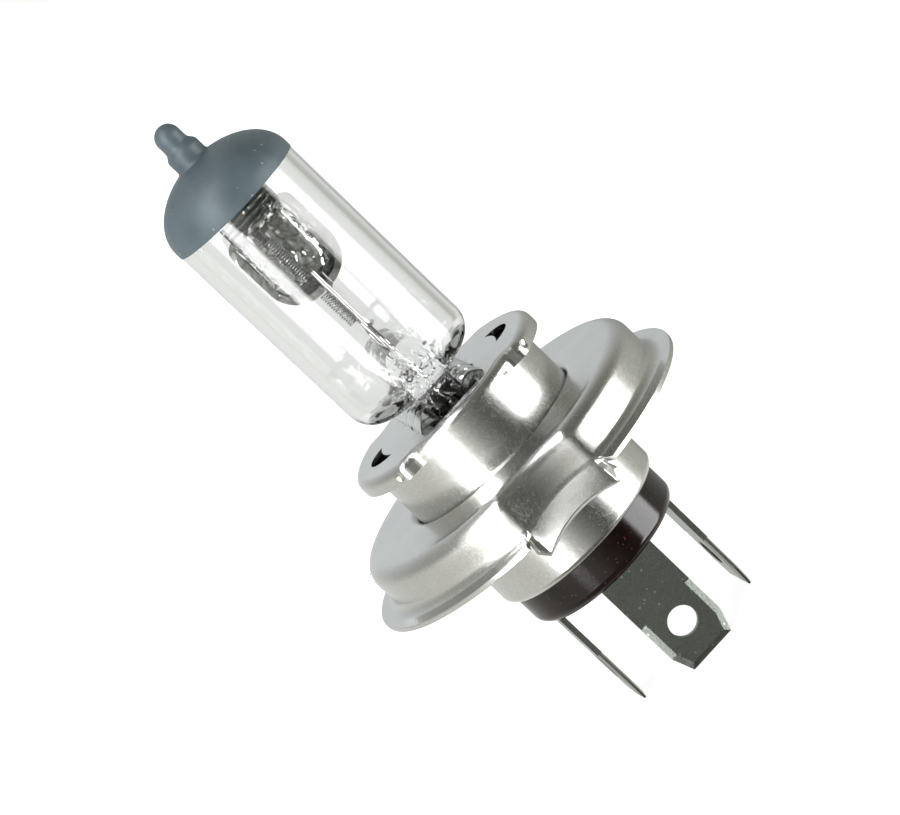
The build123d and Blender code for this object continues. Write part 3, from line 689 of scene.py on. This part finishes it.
@dataclass
class SpringLeaves:
    """Curled leaves of the burner holder's opening that grip the press seal.

    Attributes:
        plate_z: height of the holder's top.
        root: distance of the leaves' roots from the middle plane.
        tip: distance of their tips from it.
        rise: height of the tips above the plate.
        sheet: thickness of a leaf.
        arch: how far a leaf bows up half way.
        cup: how deep its cross section is hollow half way.
        places: middle of each leaf along Y and half its width, in millimetres, and its twist in degrees.
    """

    plate_z: float
    root: float
    tip: float
    rise: float
    sheet: float = 0.16 * MM
    arch: float = 0.35 * MM
    cup: float = 0.22 * MM
    places: tuple[tuple[float, float, float], ...] = (
        (-6.6, 0.8, -30.0),
        (-4.7, 1.15, 14.0),
        (-2.9, 0.8, -26.0),
        (-0.9, 1.2, 20.0),
        (1.1, 0.9, -24.0),
        (3.1, 1.2, 26.0),
        (5.0, 0.9, -20.0),
        (6.9, 0.9, 22.0),
    )

    def leaf(self, shape: bmesh.types.BMesh, side: int, along: float, half: float, twist: float) -> None:
        """Add one curled leaf as an open strip.

        Args:
            shape: gets the leaf.
            side: -1 or 1, the side of the press seal.
            along: its middle along Y, in millimetres.
            half: half its width, in millimetres.
            twist: its turn about the vertical, in degrees.
        """
        turn = math.tan(math.radians(twist))
        strip = bmesh.ops.create_grid(shape, x_segments=4, y_segments=10, size=1.0)["verts"]
        for vert in strip:
            place = vert.co.x
            share = max(0.0, (vert.co.y + 1) / 2)
            bow = math.sin(share * math.pi)
            hollow = self.cup * (1 - place * place) * bow
            out = self.root + (self.tip - self.root) * share
            up = self.plate_z + self.rise * share**0.8 + self.arch * bow
            width = half * MM * (1 - share**3) * (1 + 0.25 * bow)
            middle = along * MM + (self.root - out) * turn
            vert.co = (side * (out + hollow), middle + place * width, up - hollow / 2)

    def build(self, material: bpy.types.Material) -> bpy.types.Object:
        """Make the leaves on both sides of the press seal.

        Args:
            material: the leaves' sheet.

        Returns:
            The leaves.
        """
        shape = bmesh.new()
        for side in (-1, 1):
            for along, half, twist in self.places:
                self.leaf(shape, side, along, half, side * twist)
        bmesh.ops.remove_doubles(shape, verts=shape.verts, dist=MERGE)
        bmesh.ops.recalc_face_normals(shape, faces=shape.faces)
        bmesh.ops.solidify(shape, geom=shape.faces[:], thickness=self.sheet)
        bmesh.ops.recalc_face_normals(shape, faces=shape.faces)
        piece = piece_from(shape, "holder_spring_leaves", material)
        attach(piece, ROOT)
        LOG.info("burner_holder: %d spring leaves", 2 * len(self.places))
        return piece


ROUND_STEPS = 9  # segments in each rounded corner of the flange's outline
STRETCHES = {11: 6, 21: 3, 31: 3}  # pieces of the outline's straight stretches, by the stretch's end point
LUG_ROW = 22  # row of the outline where a lug leaves the shoulder
SHOULDER_END = 25  # where the shoulder meets the ring wall
FOLD_ROW = 28  # where the ring wall meets its fold
SLOT_ROW = 33  # where the slots beside the tongue start, part way round the fold


@dataclass
class ReferenceFlange:
    """Pressed ring and lip with the soft-edged notch, its arched tongue and the two lanced lugs.

    Attributes:
        hub_radius: outer radius of the hole's rolled edge.
        hub_bottom: height of that edge's lower end.
        hub_edge: radius of the roll.
        ring_radius: outside of the ring wall.
        lip_radius: outside of the lip.
        height: top of the ring above the lip.
        sheet: thickness of the sheet.
        shoulder: radius between the ring's top and its wall.
        fold: radius between the wall and the lip.
        notch_half: half width of the notch.
        relief: width of the slot at each side of the tongue.
        softness: how gently the notch's flat meets the round wall.
        hollow: how far the middle of the notch's flat is pressed in.
        tongue_fold: height where the tongue leaves the wall.
        tongue_out: reach of the tongue past the wall.
        tongue_drop: how far its edge lies below the lip.
        tongue_arch: how much lower the ends of its edge lie.
        run_out: angle past the slot over which the fold comes back to the lip's level, in degrees.
        lug_angle: from the notch to each lug, in degrees.
        lug_half: half the angle that a lug spans, in degrees.
        lug_gap: angle of the slot at each side of a lug, in degrees.
        lug_radius: reach of a lug from the axis.
        lug_edge: height of a lug's edge.
        lug_path: shares of a lug's way out and down, from its root to its edge.
        sheared: width of the worn bevel along the cut edges.
    """

    hub_radius: float = 11.0 * MM
    hub_bottom: float = 0.4 * MM
    hub_edge: float = 0.9 * MM
    ring_radius: float = 19.0 * MM
    lip_radius: float = 21.48 * MM
    height: float = 5.2 * MM
    sheet: float = 0.6 * MM
    shoulder: float = 1.7 * MM
    fold: float = 1.2 * MM
    notch_half: float = 4.95 * MM
    relief: float = 0.5 * MM
    softness: float = 0.07 * MM
    hollow: float = 0.7 * MM
    tongue_fold: float = 0.95 * MM
    tongue_out: float = 2.4 * MM
    tongue_drop: float = 1.35 * MM
    tongue_arch: float = 0.9 * MM
    run_out: float = 6.0
    lug_angle: float = 120.0
    lug_half: float = 8.1
    lug_gap: float = 0.75
    lug_radius: float = 21.3 * MM
    lug_edge: float = 2.5 * MM
    lug_path: tuple[tuple[float, float], ...] = (
        (0.22, 0.30),
        (0.44, 0.55),
        (0.64, 0.74),
        (0.83, 0.88),
        (1.0, 1.0),
    )
    sheared: float = 0.1 * MM

    def outline(self) -> list[Vector]:
        """Draw the sheet's outer face.

        Returns:
            Its points from the hole's edge over the ring to the rim of the lip.
        """
        corners = [
            (self.hub_radius, self.hub_bottom, 0.0),
            (self.hub_radius, self.height, self.hub_edge),
            (self.ring_radius, self.height, self.shoulder),
            (self.ring_radius, 0.0, self.fold),
            (self.lip_radius, 0.0, 0.0),
        ]
        return rounded(corners, ROUND_STEPS)

    def tongue_outline(self) -> list[Vector]:
        """Draw the outer face at the notch.

        Returns:
            Its points from the hole's edge down the notch's flat to the tongue's edge.
        """
        corners = [
            (self.hub_radius, self.hub_bottom, 0.0),
            (self.hub_radius, self.height, self.hub_edge),
            (self.ring_radius, self.height, self.shoulder),
            (self.ring_radius, self.tongue_fold, self.fold),
            (self.ring_radius + self.tongue_out, -self.tongue_drop, 0.0),
        ]
        return rounded(corners, ROUND_STEPS)

    def wall_radius(self, angle: float) -> float:
        """Blend the notch's hollow flat into the round ring wall.

        Args:
            angle: from the front, in radians.

        Returns:
            The wall's outer radius.
        """
        across = min(1.0, self.ring_radius * abs(math.sin(angle)) / self.notch_half)
        flat = math.sqrt(self.ring_radius**2 - self.notch_half**2) - self.hollow * (1 - across**2)
        # far from the notch the cosine is held up, since the wall is round there anyway
        gap = (flat / max(0.2, math.cos(angle)) - self.ring_radius) / self.softness
        if gap > 30:
            return self.ring_radius
        return self.ring_radius - self.softness * math.log1p(math.exp(-gap))

    def spans(self) -> list[tuple[float, int, str]]:
        """Return the half ring's spans.

        Returns:
            Each span's end angle in degrees, its steps and what it is.
        """
        notch = math.degrees(math.asin(self.notch_half / self.ring_radius))
        slot = math.degrees(math.asin((self.notch_half + self.relief) / self.ring_radius))
        low, high = self.lug_angle - self.lug_half, self.lug_angle + self.lug_half
        return [
            (notch, 14, "tongue"),
            (slot, 2, "slot"),
            (slot + 8, 8, "plain"),
            (low - self.lug_gap, 46, "plain"),
            (low, 1, "lance"),
            (high, 10, "lug"),
            (high + self.lug_gap, 1, "lance"),
            (180.0, 28, "plain"),
        ]

    def press(
        self, shape: bmesh.types.BMesh, row: bmesh.types.BMLayerItem, rows: tuple[list[Vector], list[Vector]]
    ) -> None:
        """Move the spun grid's points to the pressed form.

        Args:
            shape: the spun grid.
            row: layer with each point's place on the outline.
            rows: the ring's and the tongue's outlines.
        """
        notch = math.asin(self.notch_half / self.ring_radius)
        slot = math.asin((self.notch_half + self.relief) / self.ring_radius)
        bow = (self.notch_half**2 + self.tongue_arch**2) / (2 * self.tongue_arch)
        wall_top = self.height - self.shoulder
        press_start = self.ring_radius - 3.5 * self.shoulder
        press_end = self.ring_radius - self.shoulder
        for vert in shape.verts:
            place = vert[row]
            angle = abs(math.atan2(vert.co.x, -vert.co.y))
            ring, tongue = rows[0][place], rows[1][place]
            wall = self.wall_radius(angle)
            reach = ring.x + (wall - self.ring_radius) * smooth_step(ring.x, press_start, press_end)
            vert.co = Vector((math.sin(angle) * reach, -math.cos(angle) * reach, ring.z))
            fold_share = smooth_step(place, FOLD_ROW, SLOT_ROW)
            spread = slot + math.radians(self.run_out) * (1 - fold_share)
            if angle < spread and place > SHOULDER_END:
                across = wall * math.sin(min(angle, notch))
                drop = bow - math.sqrt(bow**2 - across**2)
                drop *= smooth_step(wall_top - tongue.z, 0, wall_top + self.tongue_drop)
                out = wall * math.cos(angle) + tongue.x - self.ring_radius
                bent = Vector((wall * math.sin(angle), -out, tongue.z - drop))
                vert.co = bent.lerp(vert.co, smooth_step(angle, notch, spread))

    def lance(self, shape: bmesh.types.BMesh, row: bmesh.types.BMLayerItem) -> None:
        """Cut the relief slots and the lug windows, and bend the lugs out.

        Args:
            shape: the pressed grid.
            row: layer with each point's place on the outline.
        """
        doomed = []
        for face in shape.faces:
            middle = face.calc_center_median()
            angle = math.degrees(math.atan2(middle.x, -middle.y))
            places = [vert[row] for vert in face.verts]
            kind = next(kind for end, _, kind in self.spans() if angle <= end + 0.001)
            if kind == "slot" and min(places) >= SLOT_ROW:
                doomed.append(face)
            if kind in ("lug", "lance") and min(places) >= LUG_ROW and max(places) <= FOLD_ROW:
                doomed.append(face)
        bmesh.ops.delete(shape, geom=doomed, context="FACES")
        low, high = self.lug_angle - self.lug_half, self.lug_angle + self.lug_half
        root = []
        for edge in shape.edges:
            if len(edge.link_faces) == 1 and all(vert[row] == LUG_ROW for vert in edge.verts):
                middle = (edge.verts[0].co + edge.verts[1].co) / 2
                if low < math.degrees(math.atan2(middle.x, -middle.y)) < high:
                    root.append(edge)
        if not root:
            LOG.warning("no lug root")
            return
        first = root[0].verts[0].co
        reach, height = math.hypot(first.x, first.y), first.z
        for out, down in self.lug_path:
            grown = bmesh.ops.extrude_edge_only(shape, edges=root)["geom"]
            root = [item for item in grown if isinstance(item, bmesh.types.BMEdge)]
            for vert in [item for item in grown if isinstance(item, bmesh.types.BMVert)]:
                angle = math.atan2(vert.co.x, -vert.co.y)
                here = reach + (self.lug_radius - reach) * out
                vert.co = Vector((
                    math.sin(angle) * here,
                    -math.cos(angle) * here,
                    height + (self.lug_edge - height) * down,
                ))

    def build(self, material: bpy.types.Material) -> bpy.types.Object:
        """Spin, press and lance the sheet.

        Args:
            material: the satin sheet.

        Returns:
            The flange.
        """
        shape = bmesh.new()
        row = shape.verts.layers.int.new("row")
        outline = self.outline()
        last = None
        geom = []
        for index, point in enumerate(self.fine_rows(outline)):
            vert = shape.verts.new((0, -point.x, point.z))
            vert[row] = index
            geom.append(vert)
            if last is not None:
                geom.append(shape.edges.new((last, vert)))
            last = vert
        start = 0.0
        for end, steps, _ in self.spans():
            spun = bmesh.ops.spin(
                shape,
                geom=geom,
                cent=(0, 0, 0),
                axis=(0, 0, 1),
                angle=math.radians(end - start),
                steps=steps,
                use_merge=False,
            )
            geom = spun["geom_last"]
            start = end
        bmesh.ops.remove_doubles(shape, verts=shape.verts, dist=10 * MERGE)
        self.press(shape, row, (self.fine_rows(outline), self.fine_rows(self.tongue_outline())))
        self.lance(shape, row)
        half = shape.verts[:] + shape.edges[:] + shape.faces[:]
        bmesh.ops.mirror(shape, geom=half, axis="X", merge_dist=10 * MERGE)
        bmesh.ops.remove_doubles(shape, verts=shape.verts, dist=5 * MERGE)
        bmesh.ops.recalc_face_normals(shape, faces=shape.faces)
        shape.faces.ensure_lookup_table()
        top = max(shape.faces, key=lambda face: face.calc_center_median().z)
        if top.normal.z < 0:
            bmesh.ops.reverse_faces(shape, faces=shape.faces)
        piece = piece_from(shape, "pressed_flange", material)
        thick = piece.modifiers.new("sheet", "SOLIDIFY")
        thick.thickness = self.sheet
        thick.offset = -1.0
        edge = piece.modifiers.new("sheared_edge", "BEVEL")
        edge.width = self.sheared
        edge.segments = 2
        edge.limit_method = "ANGLE"
        edge.angle_limit = math.radians(50)
        edge.harden_normals = True
        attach(piece, ROOT)
        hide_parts("reference_flange")
        LOG.info("reference_flange: %d faces", len(piece.data.polygons))
        return piece

    def fine_rows(self, outline: list[Vector]) -> list[Vector]:
        """Split an outline's long straight stretches.

        Args:
            outline: the outline.

        Returns:
            The outline's points, one for each row of the grid.
        """
        points = [outline[0]]
        for index, point in enumerate(outline[1:], 1):
            pieces = STRETCHES.get(index, 1)
            for step in range(1, pieces + 1):
                points.append(outline[index - 1].lerp(point, step / pieces))
        return points


@dataclass(frozen=True)
class Panel:
    """One flat soft-edged lit panel of the room, seen from the bulb.

    Attributes:
        azimuth: of its middle, from the viewer's side, positive to the right, in degrees.
        elevation: of its middle above the flange's plane, in degrees.
        half_width: half the angle that it spans sideways, in degrees.
        below: angle from its middle to its lower edge, in degrees.
        above: angle from its middle to its upper edge, in degrees.
        softness: half the width of its soft edge, as a share of its distance.
        shine: its brightness in reflections.
        level: its brightness as a light.
    """

    azimuth: float
    elevation: float
    half_width: float
    below: float
    above: float
    softness: float
    shine: float
    level: float


PANELS = [
    Panel(
        azimuth=-38.0, elevation=25.0, half_width=10.0, below=39.5, above=57.0,
        softness=0.04, shine=14.0, level=4.2,
    ),
    Panel(
        azimuth=68.0, elevation=-22.0, half_width=19.0, below=19.0, above=24.0,
        softness=0.06, shine=8.5, level=1.1,
    ),
]
# colours of the room by azimuth from the viewer's side, in degrees: its walls at the height of the bulb's
# reflections, its foot below them and its ceiling
WALLS = [
    (-180, (0.86, 0.90, 0.92)),
    (-150, (0.80, 0.81, 0.78)),
    (-85, (0.80, 0.80, 0.74)),
    (-60, (1.15, 1.15, 1.10)),
    (-20, (1.15, 1.15, 1.10)),
    (-9, (0.72, 0.72, 0.68)),
    (0, (0.38, 0.39, 0.36)),
    (20, (0.12, 0.12, 0.10)),
    (36, (0.06, 0.065, 0.05)),
    (92, (0.60, 0.60, 0.54)),
    (130, (0.50, 0.51, 0.46)),
    (165, (0.30, 0.31, 0.29)),
    (180, (0.80, 0.84, 0.86)),
]
FOOT = [
    (-180, (1.00, 1.00, 0.97)),
    (-95, (0.85, 0.85, 0.80)),
    (-60, (0.30, 0.29, 0.26)),
    (36, (0.05, 0.05, 0.04)),
    (92, (0.70, 0.70, 0.64)),
    (180, (1.00, 1.00, 0.97)),
]
CEILING = [
    (-180, (0.74, 0.78, 0.80)),
    (-120, (0.52, 0.52, 0.50)),
    (-30, (0.30, 0.30, 0.28)),
    (0, (0.20, 0.20, 0.19)),
    (60, (0.18, 0.18, 0.16)),
    (110, (0.30, 0.30, 0.27)),
    (150, (0.55, 0.56, 0.54)),
    (180, (0.74, 0.78, 0.80)),
]


def direction(azimuth: float, elevation: float) -> Vector:
    """Return the direction at an azimuth from the front and an elevation, in degrees."""
    around, up = math.radians(azimuth), math.radians(elevation)
    return Vector((math.sin(around) * math.cos(up), -math.cos(around) * math.cos(up), math.sin(up)))


def rightwards(azimuth: float) -> Vector:
    """Return the level direction to the right of one looked from at an azimuth, in degrees."""
    around = math.radians(azimuth)
    return Vector((math.cos(around), math.sin(around), 0.0))


@dataclass
class Studio:
    """Room, floor and camera.

    Attributes:
        distance: from the bulb's origin to the camera, in metres.
        elevation: of the camera above the flange's plane, in degrees.
        azimuth: of the camera from the front, in degrees.
        tilt: angle of the bulb's axis below the horizontal in the frame, in degrees.
        focal: focal length in frame widths.
        shift: how far the lens is shifted sideways and up, in frame widths.
        sensor: width of the sensor, in millimetres.
        clip: nearest and farthest distance that is drawn, in metres.
        floor_radius: of the floor, in metres.
        floor_gap: between the blades' ends and the floor, in metres.
        floor_shade: grey of the floor.
        floor_glow: how strongly it shines by itself.
        wall_rise: elevations between which the room's foot passes into its walls, in degrees.
        ceiling_rise: elevations between which the walls pass into the ceiling, in degrees.
        paper_angles: angles from the line of sight over which the pale paper behind the glass ends.
        paper_seen: colour of that paper.
    """

    distance: float = 0.3094
    elevation: float = 14.32
    azimuth: float = -3.5
    tilt: float = 43.61
    focal: float = 3.235889
    shift: tuple[float, float] = (-0.081333, 0.075889)
    sensor: float = 36.0
    clip: tuple[float, float] = (0.01, 20.0)
    floor_radius: float = 4.0
    floor_gap: float = 0.1 * MM
    floor_shade: float = 0.8
    floor_glow: float = 0.8
    wall_rise: tuple[float, float] = (-20.0, -15.5)
    ceiling_rise: tuple[float, float] = (-8.0, 28.0)
    paper_angles: tuple[float, float] = (16.0, 40.0)
    paper_seen: Colour = (0.80, 0.81, 0.80)

    def camera(self) -> None:
        """Make the camera, turned so that the bulb's axis runs from the upper left to the lower right."""
        data = bpy.data.cameras.new("camera")
        data.sensor_width = self.sensor
        data.sensor_fit = "HORIZONTAL"
        data.lens = self.sensor * self.focal
        data.shift_x, data.shift_y = self.shift
        data.clip_start, data.clip_end = self.clip
        back = direction(self.azimuth, self.elevation)
        right = rightwards(self.azimuth)
        up = back.cross(right)
        tilt = math.radians(self.tilt)
        frame_right = right * math.sin(tilt) - up * math.cos(tilt)
        frame_up = right * math.cos(tilt) + up * math.sin(tilt)
        turn = Matrix((frame_right, frame_up, back)).transposed().to_4x4()
        camera = bpy.data.objects.new("camera", data)
        camera.matrix_world = Matrix.Translation(back * self.distance) @ turn
        bpy.context.scene.collection.objects.link(camera)
        bpy.context.scene.camera = camera

    def floor(self) -> None:
        """Make the pale floor under the blades."""
        low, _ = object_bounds()
        mesh = bpy.data.meshes.new("floor")
        shape = bmesh.new()
        bmesh.ops.create_circle(shape, cap_ends=True, segments=96, radius=self.floor_radius)
        bmesh.ops.translate(shape, verts=shape.verts, vec=(0, 0, low.z - self.floor_gap))
        shape.to_mesh(mesh)
        shape.free()
        floor = bpy.data.objects.new("floor", mesh)
        bpy.context.scene.collection.objects.link(floor)
        material, _, shader = new_material("floor_paper")
        shader.inputs["Base Color"].default_value = (*[self.floor_shade] * 3, 1.0)
        shader.inputs["Roughness"].default_value = 0.9
        shader.inputs["Specular IOR Level"].default_value = 0.1
        shader.inputs["Emission Color"].default_value = WHITE
        shader.inputs["Emission Strength"].default_value = self.floor_glow
        mesh.materials.append(material)
        # metal and glass meet the room in the floor's place, whose colours go on below the horizon
        floor.visible_glossy = False
        floor.visible_transmission = False
        floor.visible_shadow = False
        floor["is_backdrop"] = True

    def window(self, tree: Tree, looking: bpy.types.NodeSocket, panel: Panel) -> bpy.types.NodeSocket:
        """Add the mask of one panel of the room.

        Args:
            tree: the world's nodes.
            looking: the direction looked in.
            panel: the panel.

        Returns:
            The mask, 1 inside the panel.
        """
        middle = direction(panel.azimuth + self.azimuth, panel.elevation)
        side = rightwards(panel.azimuth + self.azimuth)
        ahead, across, upwards = (
            tree.add("VectorMath", {0: looking, 1: axis}, operation="DOT_PRODUCT").outputs["Value"]
            for axis in (middle, side, middle.cross(side))
        )
        mask = tree.math("GREATER_THAN", ahead, 0.0)
        depth = tree.math("MAXIMUM", ahead, 0.01)
        spans = ((across, (-panel.half_width, panel.half_width)), (upwards, (-panel.below, panel.above)))
        for part, limits in spans:
            place = tree.math("DIVIDE", part, depth)
            for limit, inward in zip(limits, (1, -1)):
                edge, soft = math.tan(math.radians(limit)), inward * panel.softness
                mask = tree.math("MULTIPLY", mask, tree.ease(place, edge - soft, edge + soft))
        return mask

    def room(self, tree: Tree, looking: bpy.types.NodeSocket) -> bpy.types.NodeSocket:
        """Add the grey room without its panels.

        Args:
            tree: the world's nodes.
            looking: the direction looked in.

        Returns:
            The room's colour.
        """
        turn = math.pi / 2 - math.radians(self.azimuth)
        turned = tree.add("VectorRotate", {"Vector": looking, "Angle": turn}, rotation_type="Z_AXIS")
        parts = tree.add("SeparateXYZ", {0: turned.outputs[0]}).outputs
        azimuth = tree.math("DEGREES", tree.math("ARCTAN2", parts["Y"], parts["X"]))
        elevation = tree.math("DEGREES", tree.math("ARCSINE", parts["Z"]))
        around = tree.math("DIVIDE", tree.math("ADD", azimuth, 180.0), 360.0)
        foot, wall, ceiling = (
            tree.ramp(around, [((angle + 180) / 360, colour) for angle, colour in band])
            for band in (FOOT, WALLS, CEILING)
        )
        lower = tree.mix(tree.ease(elevation, *self.wall_rise), foot, wall)
        return tree.mix(tree.ease(elevation, *self.ceiling_rise), lower, ceiling)

    def world(self) -> None:
        """Make the world: white behind the bulb, and a soft grey room with two lit panels round it."""
        world = bpy.data.worlds.new("room")
        bpy.context.scene.world = world
        world.use_nodes = True
        tree = Tree(world.node_tree)
        tree.tree.nodes.clear()
        looking = tree.add("TexCoord").outputs["Generated"]
        seen = tree.add("LightPath").outputs
        room = self.room(tree, looking)
        for panel in PANELS:
            extra = tree.math("MULTIPLY", seen["Is Glossy Ray"], panel.shine - panel.level)
            lit = tree.math("ADD", extra, panel.level)
            level = tree.add("CombineColor", {0: lit, 1: lit, 2: lit}).outputs[0]
            room = tree.mix(self.window(tree, looking, panel), room, level)
        away = {0: looking, 1: -direction(self.azimuth, self.elevation)}
        ahead = tree.add("VectorMath", away, operation="DOT_PRODUCT").outputs["Value"]
        near, far = (math.cos(math.radians(angle)) for angle in self.paper_angles)
        paper = tree.math("MULTIPLY", tree.ease(ahead, far, near), seen["Is Transmission Ray"])
        through = tree.mix(paper, room, (*self.paper_seen, 1.0))
        shown = tree.mix(seen["Is Camera Ray"], through, WHITE)
        light = tree.add("Background", {"Color": shown})
        tree.add("OutputWorld", {"Surface": light.outputs[0]})

    def build(self) -> None:
        """Make the whole studio."""
        self.world()
        self.floor()
        self.camera()
        bpy.context.scene.view_settings.view_transform = "Standard"


def mm(*values: float) -> Vector:
    """Return a point given in millimetres."""
    return Vector(values) * MM


def dress_cad_nodes(materials: dict[Coat, bpy.types.Material]) -> None:
    """Give every CAD node its finish.

    Args:
        materials: the finishes' materials.
    """
    for name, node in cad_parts.items():
        node.data.materials.clear()
        node.data.materials.append(materials[NODE_COATS[name]])


def main() -> None:
    """Build the bulb's looks and the studio in order."""
    logging.basicConfig(level=logging.INFO, format="%(name)s: %(message)s")
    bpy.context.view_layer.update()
    materials = {coat: finish.build(coat.value) for coat, finish in FINISHES.items()}
    dress_cad_nodes(materials)
    Filament(
        node="low_beam_filament",
        centre=(-0.6 * MM, 0.9 * MM),
        base=31.3 * MM,
        length=5.6 * MM,
        radius=0.5 * MM,
        turns=18,
        low_tail=[mm(0.4, 0.0, 31.1), mm(0.79, -1.0, 30.8), mm(0.79, -1.0, 29.3), mm(0.38, 0.6, 28.7)],
        high_tail=[mm(-0.14, 0.9, 37.3), mm(-0.14, 0.9, 37.6)],
    ).build(materials[Coat.TUNGSTEN])
    Filament(
        node="high_beam_filament",
        centre=(-0.65 * MM, -0.5 * MM),
        base=24.6 * MM,
        length=4.48 * MM,
        radius=0.46 * MM,
        turns=15,
        low_tail=[mm(-0.12, -0.55, 24.3), mm(-0.03, -0.6, 24.0)],
        high_tail=[mm(-0.1, -0.2, 29.0), mm(0.0, 0.22, 28.7)],
    ).build(materials[Coat.TUNGSTEN])
    _, holder_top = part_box("burner_holder")
    leaves = SpringLeaves(plate_z=holder_top.z + 0.02 * MM, root=4.6 * MM, tip=2.3 * MM, rise=1.3 * MM)
    leaves.build(materials[Coat.LEAF_SHEET])
    ReferenceFlange().build(materials[Coat.SATIN_SHEET])
    Studio().build()


if __name__ == "__main__":
    main()
